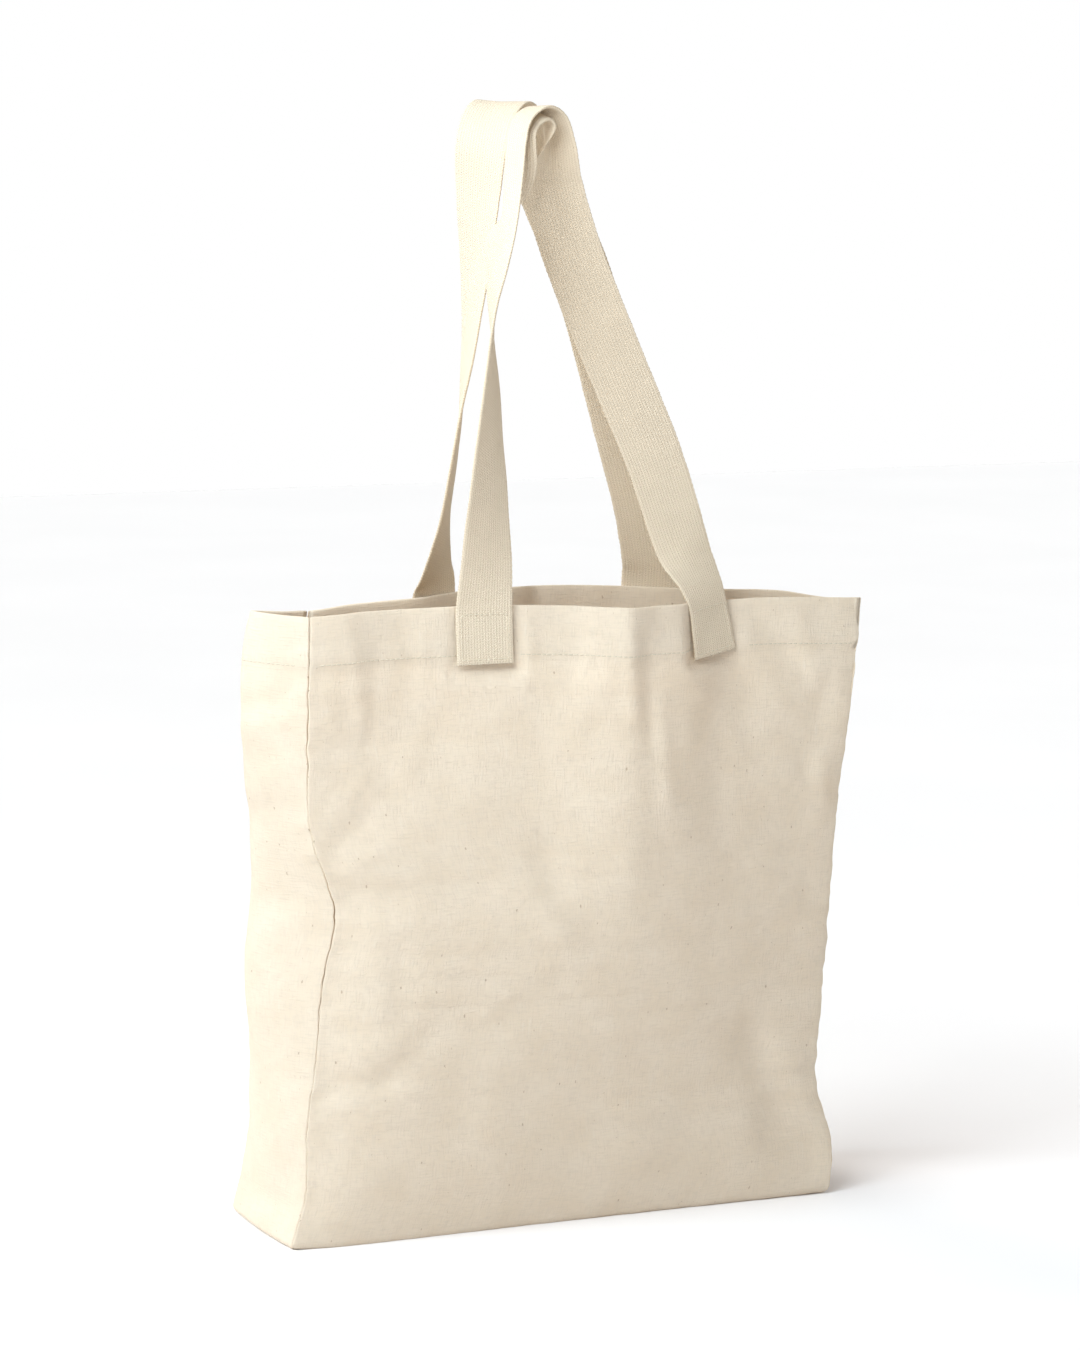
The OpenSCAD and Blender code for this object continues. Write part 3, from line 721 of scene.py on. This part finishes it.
# Node, outer face, about how wide, its neighbours at u = 0 and 1, flat cut, folds, which way it turns.
PANELS = [
    ("front_panel", front_surface, PANEL_WIDTH, (left_surface, 0), (right_surface, 0), PANEL_CUT,
     wide_height(FRONT_FOLDS, 1, FRONT_FEET, crease=True), 1),
    ("back_panel", back_surface, BACK_WIDTH, (left_surface, 1), (right_surface, 1), PANEL_CUT,
     wide_height(BACK_FOLDS, 11, BACK_FEET), -1),
    ("left_gusset", left_surface, GUSSET_WIDTH, (front_surface, 0), (back_surface, 0), GUSSET_CUT,
     gusset_height(21, LEFT_FOLDS, LEAN), -1),
    ("right_gusset", right_surface, GUSSET_WIDTH, (front_surface, 1), (back_surface, 1), GUSSET_CUT,
     gusset_height(31, RIGHT_FOLDS), 1),
]
for node, surface, width, first, second, flat, height_of, out in PANELS:
    angles = corner_angles(surface, first, second)
    piece = cloth_panel(node + "_cloth", surface, width, angles, height_of, out)
    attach(piece, "bag")
    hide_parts(node)


# -------------------- stitches

THREAD_RADIUS = 0.3
STITCH = 2.9            # length of one stitch
STITCH_GAP = 0.55


def tubes(name, paths, material, radius, sides=6):
    """One mesh of capped tubes, each through its own list of points with its own list of radius shares."""
    verts, faces = [], []
    for path, shares in paths:
        path = np.asarray(path, float)
        along = unit(np.gradient(path, axis=0))
        side = unit(np.cross(along, (0.31, 0.17, 0.93)))
        up = np.cross(side, along)
        start = len(verts)
        for i, share in enumerate(shares):
            for k in range(sides):
                a = TAU * k / sides
                verts.append((path[i] + (side[i] * math.cos(a) + up[i] * math.sin(a)) * radius * share) * MM)
        for i in range(len(path) - 1):
            for k in range(sides):
                a, b = start + i * sides + k, start + i * sides + (k + 1) % sides
                faces.append((a, b, b + sides, a + sides))
        faces.append(tuple(start + k for k in reversed(range(sides))))
        faces.append(tuple(start + (len(path) - 1) * sides + k for k in range(sides)))
    mesh = bpy.data.meshes.new(name)
    mesh.from_pydata([tuple(v) for v in verts], [], faces)
    mesh.polygons.foreach_set("use_smooth", [True] * len(faces))
    return new_object(name, mesh, material)


def resampled(points, step, normals=None):
    """Points a step apart along a line of points, with their normals."""
    points = np.asarray(points, float)
    length = np.concatenate([[0], np.cumsum(np.linalg.norm(np.diff(points, axis=0), axis=1))])
    where = np.arange(0, length[-1], step)

    def at_steps(values):
        return np.stack([np.interp(where, length, values[:, k]) for k in range(3)], axis=1)

    return at_steps(points), None if normals is None else unit(at_steps(np.asarray(normals, float)))


def stitch_run(points, normals):
    """Separate stitches along a line on cloth: each dips into the cloth at its two ends."""
    fine, faces = resampled(points, (STITCH + STITCH_GAP) / 6, normals)
    runs = []
    for i in range(0, len(fine) - 5, 6):
        lift = np.array([-0.2, 0.1, 0.2, 0.2, 0.1, -0.2]) * (1.0 if i % 12 else 0.9)
        stitch = fine[i] + (fine[i + 5] - fine[i]) * np.linspace(0, 1, 6)[:, None]
        runs.append((stitch + faces[i:i + 6] * lift[:, None], (0.55, 0.95, 1, 1, 0.95, 0.55)))
    return runs


def sewn(obj, body, node):
    """Hand a piece over as part of a body, in place of a node."""
    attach(obj, body)
    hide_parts(node)


hem_runs = []
# The stretches of each panel's width that have hem stitches, clear of the handles' ends and the corners.
for panel, shares in (("front_panel_cloth", ((0.012, 0.265), (0.362, 0.695), (0.79, 0.985))),
                      ("back_panel_cloth", ((0.012, 0.275), (0.385, 0.665), (0.775, 0.985))),
                      ("left_gusset_cloth", ((0.05, 0.95),)), ("right_gusset_cloth", ((0.05, 0.95),))):
    u, row, faces = hem_lines[panel]
    for low, high in shares:
        chosen = (u >= low) & (u <= high)
        hem_runs += stitch_run(row[chosen], faces[chosen])
hem_stitches = tubes("hem_stitches_thread", hem_runs, thread, THREAD_RADIUS)
sewn(hem_stitches, "bag", "hem_stitches")

# -------------------- webbing handles

WEB_WIDTH = 38
WEB_THICKNESS = 1.7
FOLD_ANGLE = math.radians(166)
FOLD_HALF = 2.6         # half width of the bend where a strap is folded along its middle
# Centre lines of the straps from end to end: x, y, z, turn in degrees, share of the lengthwise fold.
FRONT_ROUTE = [
    (-57, -42.2, 361, -1, 0), (-57, -39.2, 390, -1, 0), (-56.5, -38.5, 401, 2, 0), (-55, -38, 424, 11, 0),
    (-55, -39, 452, 23, 0), (-55, -40, 486, 37, 0), (-54, -40, 525, 50, 0), (-54, -40, 562, 64, 0),
    (-54, -41, 589, 76, 0), (-52, -43, 612, 87, 0), (-49.5, -42.5, 634, 96, 0.1),
    (-46, -36, 660, 103, 0.65), (-42, -29, 682, 108, 0.97), (-37, -25.5, 697, 111, 1),
    (-25, -22, 704, 114, 1), (-13, -18, 698, 118, 0.95), (-6, -14, 680, 127, 0.6),
    (-1, -10, 655, 142, 0.2), (14, -8, 612, 153, 0), (34, -9, 566, 160, 0), (54, -13, 520, 168, 0),
    (70, -17.5, 481, 172, 0), (86, -23, 431, 178, 0), (93, -28, 413, 190, 0), (97, -33.5, 401, 200, 0),
    (100, -36, 389, 205, 0), (104.5, -38.4, 359, 200, 0)]
BACK_ROUTE = [
    (-59, 37.2, 361, -162, 0), (-59, 36.5, 390, -159, 0), (-59, 35, 401, -153, 0), (-59, 31, 414, -138, 0),
    (-57.5, 23, 444, -122, 0), (-55, 16, 480, -118, 0), (-53, 9, 515, -112, 0), (-51.5, 3, 552, -102, 0),
    (-50, -1, 589, -91, 0), (-50, -4, 618, -82, 0), (-50.5, -7, 650, -69, 0), (-50, -10, 680, -57, 0),
    (-43, -5, 698, -54, 0), (-30, 4, 706, -52, 0), (-16, 14, 698, -50, 0), (-6, 21, 680, -46, 0),
    (10, 27, 652, -38, 0), (31, 30, 613, -28, 0), (48, 31, 570, -18, 0), (67, 32, 508, -12, 0),
    (84, 32, 452, -14, 0), (92, 32.6, 414, -19, 0), (93, 34, 401, -21, 0), (93, 34.6, 389, -20, 0),
    (93, 33.4, 361, -18, 0)]


def strap_frames(route):
    """Even rows along a route: centres, directions across, face normals, fold and length so far."""
    route = np.asarray(route, float)
    fine = curve(route, np.linspace(0, len(route) - 1, (len(route) - 1) * 40 + 1))
    length = np.concatenate([[0], np.cumsum(np.linalg.norm(np.diff(fine[:, :3], axis=0), axis=1))])
    where = np.linspace(0, length[-1], int(length[-1]) + 1)
    rows = np.stack([np.interp(where, length, fine[:, k]) for k in range(5)], axis=1)
    centre = rows[:, :3]
    along = unit(np.gradient(centre, axis=0))
    yaw = np.radians(rows[:, 3])
    across = np.stack([np.cos(yaw), np.sin(yaw), 0 * yaw], axis=1)
    across = unit(across - along * (across * along).sum(1, keepdims=True))
    return centre, across, np.cross(across, along), rows[:, 4], where


def strap_section(fold, toward, s):
    """Across and face offsets of the strap's middle plane at the positions s, and the section's normals."""
    angle = FOLD_ANGLE * np.asarray(fold)[:, None]
    t = np.clip((s[None, :] + FOLD_HALF) / (2 * FOLD_HALF), 0, 1)
    turn = angle * (t * t * (3 - 2 * t))
    middle = (turn[:, 1:] + turn[:, :-1]) / 2
    ds = np.diff(s)[None, :]
    p = np.concatenate([np.full((len(turn), 1), s[0]), s[0] + np.cumsum(np.cos(middle) * ds, axis=1)], axis=1)
    q = np.concatenate([np.zeros((len(turn), 1)), np.cumsum(np.sin(middle) * ds, axis=1)], axis=1) * toward
    return p, q, -toward * np.sin(turn), np.cos(turn)


def strap(name, route, toward, seed):
    """A continuous webbing strap: rounded, slightly scalloped edges and sealed ends."""
    centre, across, face, fold, length = strap_frames(route)
    half = WEB_WIDTH / 2
    edge = WEB_THICKNESS / 2
    bend = np.linspace(-FOLD_HALF, FOLD_HALF, 9)
    flat = np.linspace(FOLD_HALF, half - edge, 10)[1:]
    round_edge = half - edge + edge * np.sin(np.linspace(0, math.pi / 2, 5))[1:]
    s = np.concatenate([-round_edge[::-1], -flat[::-1], bend, flat, round_edge])
    p, q, mp, mq = strap_section(fold, toward, s)
    ridge = 1 + 0.16 * np.exp(-((np.abs(s) - half + 2.4) / 1.6) ** 2)
    depth = edge * ridge * np.sqrt(np.clip(1 - (np.maximum(np.abs(s) - half + edge, 0) / edge) ** 2, 0, 1))
    depth[[0, -1]] = 0
    from_end = np.minimum(length, length[-1] - length)
    taper = np.sqrt(np.clip(1 - (1 - np.clip(from_end / edge, 0, 1)) ** 2, 0.05, 1))
    depth = depth[None, :] * taper[:, None]
    near_edge = np.clip((np.abs(s) - half + 3) / 3, 0, 1)
    wobble = np.array([noise.noise(Vector((l / 9, seed, 0))) for l in length])
    scallop = (0.16 * np.cos(TAU * length / 3.4) + 0.25 * wobble)[:, None] * (near_edge * np.sign(s))[None, :]
    free = np.clip((from_end - 42) / 30, 0, 1)[:, None]
    ripple = np.array([[noise.noise(Vector((l / 46, v / 22, seed + 5))) for v in s] for l in length]) * free
    curl = (0.6 * free * (s[None, :] / half) ** 2) * (-toward)
    at = (centre[:, None, :] + across[:, None, :] * (p + scallop * mq)[..., None]
          + face[:, None, :] * (q - scallop * mp)[..., None])
    normal = across[:, None, :] * mp[..., None] + face[:, None, :] * mq[..., None]
    at = at + normal * (ripple + curl)[..., None]
    top, bottom = at + normal * depth[..., None], at - normal * depth[..., None]
    points = np.concatenate([top, bottom[:, 1:-1][:, ::-1]], axis=1)
    across_cut = np.concatenate([s, s[1:-1][::-1]])
    uv = np.stack(np.meshgrid(across_cut, length), axis=-1)
    obj = grid_object(name, points, uv, webbing, flip=True, closed=True)
    cap_ends(obj, len(length), points.shape[1], len(s))
    return obj, (centre, across, face, length)


def cap_ends(obj, rows, loop, top):
    """Close the first and last rows of a strap by joining its two faces."""
    work = bmesh.new()
    work.from_mesh(obj.data)
    work.verts.ensure_lookup_table()
    layer = work.loops.layers.uv[0]
    for row in (0, rows - 1):
        base = row * loop
        for k in range(top - 1):
            below = [base + (loop - k) % loop, base + (loop - k - 1) if k + 1 < top - 1 else base + top - 1]
            corners = [base + k, base + k + 1]
            corners += [i for i in below[::-1] if i not in corners]
            if row == 0:
                corners = corners[::-1]
            face = work.faces.new([work.verts[i] for i in corners])
            face.smooth = True
            for corner in face.loops:
                other = next(l for l in corner.vert.link_loops if l.face is not face)
                corner[layer].uv = other[layer].uv
    work.to_mesh(obj.data)
    work.free()


front_strap, front_frames = strap("front_strap_webbing", FRONT_ROUTE, 1, 3)
back_strap, back_frames = strap("back_strap_webbing", BACK_ROUTE, -1, 8)
for piece, body, ends in ((front_strap, "front_handle", "front_handle_ends"),
                          (back_strap, "back_handle", "back_handle_ends")):
    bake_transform(piece)
    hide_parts(body, ends)


def foot_box(frames, first):
    """Stitch line round a strap's sewn end, on its outer face."""
    centre, across, face, length = frames
    inset, top = 3.2, 31
    side = WEB_WIDTH / 2 - inset
    corners = [(-side, inset), (side, inset), (side, top), (-side, top), (-side, inset)]
    points, normals = [], []
    for (a0, l0), (a1, l1) in zip(corners, corners[1:]):
        for t in np.linspace(0, 1, 24, endpoint=False):
            a, l = a0 + (a1 - a0) * t, l0 + (l1 - l0) * t
            where = l if first else length[-1] - l
            row = int(round(np.interp(where, length, np.arange(len(length)))))
            points.append(centre[row] + across[row] * a + face[row] * (WEB_THICKNESS / 2 + 0.05))
            normals.append(face[row])
    points.append(points[0])
    normals.append(normals[0])
    return stitch_run(points, normals)


for name, node, frames in (("front_foot_thread", "front_handle_stitches", front_frames),
                           ("back_foot_thread", "back_handle_stitches", back_frames)):
    runs = foot_box(frames, True) + foot_box(frames, False)
    sewn(tubes(name, runs, thread, THREAD_RADIUS), "bag", node)


# -------------------- seams inside the bag

ALLOWANCE = 8           # width of a seam allowance
ALLOWANCE_START = 3     # how far inside the seam it shows
PLY_GAP = 0.35          # from the middle of the allowance to the middle of each ply
# Seam, direction of its allowance, how high it stays pressed that way.
CORNERS = [(FRONT_LEFT, (0.55, 0.83), 391), (BACK_LEFT, (0.45, -0.89), 386),
           (FRONT_RIGHT, (-0.8, 0.6), 260), (BACK_RIGHT, (-0.8, -0.6), 258)]


def overlock(edge, inward, face, reach=4.2):
    """Thread that runs over a raw edge and back: points along it."""
    points = []
    for i in range(len(edge) - 1):
        for t, depth, side in ((0, reach, 1.1), (0.25, 0.5, 1.1), (0.4, -0.5, 0), (0.55, 0.5, -1.1),
                               (0.8, reach, -1.1)):
            at = edge[i] + (edge[i + 1] - edge[i]) * t
            points.append(at + inward[i] * depth + face[i] * side)
    return points


allowance_pieces, overlock_paths = [], []
for number, (seam, direction, top) in enumerate(CORNERS):
    z = np.arange(1.0, top, 3.0)
    line = seam_line(seam, z)
    go = np.append(direction, 0.0)
    side = np.array([go[1], -go[0], 0.0])
    sway = np.array([noise.noise(Vector((h / 26, number * 5.0, 0))) for h in z])
    w = np.linspace(ALLOWANCE_START, ALLOWANCE_START + ALLOWANCE, 6)
    middle = line[:, None, :] + go * w[None, :, None]
    middle = middle + side * (sway[:, None] * 1.6 * ((w - w[0]) / ALLOWANCE)[None, :] ** 2)[..., None]
    cut = np.stack(np.meshgrid(w + 40 * number, z), axis=-1)
    for ply in (-1, 1):
        flare = PLY_GAP * (1 + 0.5 * ((w - w[0]) / ALLOWANCE))[None, :, None]
        piece = grid_object("corner_allowance", middle + side * flare * ply, cut, canvas, 0.6)
        allowance_pieces.append(piece)
    steps = resampled(middle[:, -1], 2.2)[0]
    path = overlock(steps, np.tile(-go, (len(steps), 1)), np.tile(side, (len(steps), 1)))
    overlock_paths.append((path, [1.0] * len(path)))


def joined(name, pieces):
    """One object from several, in place."""
    work = bmesh.new()
    for piece in pieces:
        work.from_mesh(piece.data)
    mesh = bpy.data.meshes.new(name)
    work.to_mesh(mesh)
    work.free()
    obj = new_object(name, mesh, pieces[0].data.materials[0])
    for piece in pieces:
        bpy.data.objects.remove(piece)
    return obj


corner_allowances = joined("corner_seam_allowance_cloth", allowance_pieces)
sewn(corner_allowances, "bag", "corner_seam_allowances")
sewn(tubes("corner_overlock_thread", overlock_paths, thread, 0.25, 5), "bag", "corner_seam_stitches")

BASE_END, BASE_FRONT, BASE_BACK = 184, -43, 45
ALLOWANCE_PLIES = ((1.6, 0.3), (2.35, 0.9))     # height of each ply of the base's allowance, and its sway


def base_ring(inset, corner=5.0):
    """A rounded rectangle inside the base's outline."""
    x, y0, y1 = BASE_END - inset, BASE_FRONT + inset, BASE_BACK - inset
    r = max(corner - inset, 1.0)
    points = []
    low, high = y0 + r, y1 - r
    for cx, cy, start in ((x - r, low, -90), (x - r, high, 0), (r - x, high, 90), (r - x, low, 180)):
        for a in np.radians(np.linspace(start, start + 90, 6)):
            points.append((cx + r * math.cos(a), cy + r * math.sin(a), 0))
    points.append(points[0])
    return np.array(points)


def ring_strip(name, inner, outer, z, sway):
    """A flat ply of cloth between two rings of the same number of points."""
    rows = []
    steps = np.linspace(0, 1, 180)
    for t in np.linspace(0, 1, 5):
        ring = outer + (inner - outer) * t
        length = np.concatenate([[0], np.cumsum(np.linalg.norm(np.diff(ring, axis=0), axis=1))])
        line = np.stack([np.interp(steps * length[-1], length, ring[:, k]) for k in range(3)], axis=1)
        wave = np.array([noise.noise(Vector((p[0] / 18, p[1] / 18, z))) + 0.3 for p in line])
        line[:, 2] = z + sway * t * wave
        line[-1] = line[0]
        rows.append(line)
    points = np.array(rows)
    return grid_object(name, points, flat_coordinates(points), canvas, 0.6)


base_cloth_points = np.array([[(x, y, CLOTH / 2 + 0.02) for x in np.linspace(-BASE_END, BASE_END, 94)]
                              for y in np.linspace(BASE_FRONT, BASE_BACK, 24)])
base_normals = np.zeros_like(base_cloth_points) + (0, 0, -1)
grown, faced = base_cloth_points, base_normals
for axis in (0, 1):
    for first in (True, False):
        grown, faced = extended(grown, faced, axis, first, SEAM_ROLL, math.radians(100))
base_cloth = grid_object("base_panel_cloth", grown, flat_coordinates(grown), canvas, CLOTH, flip=True)
sewn(base_cloth, "bag", "base_panel")

base_plies = joined("base_seam_allowance_cloth",
                    [ring_strip("base_allowance", base_ring(11), base_ring(2), z, sway)
                     for z, sway in ALLOWANCE_PLIES])
sewn(base_plies, "bag", "base_seam_allowance")
ring = resampled(base_ring(10.6), 2.3)[0]
into = unit(np.roll(ring, -1, axis=0) - ring)
into = np.stack([-into[:, 1], into[:, 0], into[:, 2]], axis=1)
base_path = overlock(ring + (0, 0, 2.2), -into, np.tile((0.0, 0.0, 1.0), (len(ring), 1)))
sewn(tubes("base_overlock_thread", [(base_path, [1.0] * len(base_path))], thread, 0.25, 5), "bag",
     "base_seam_stitches")


# -------------------- floor

floor_mesh = bpy.data.meshes.new("floor")
floor_mesh.from_pydata([(-5, -5, 0), (5, -5, 0), (5, 4, 0), (-5, 4, 0)], [], [(0, 1, 2, 3)])
floor = new_object("floor", floor_mesh, floor_material())
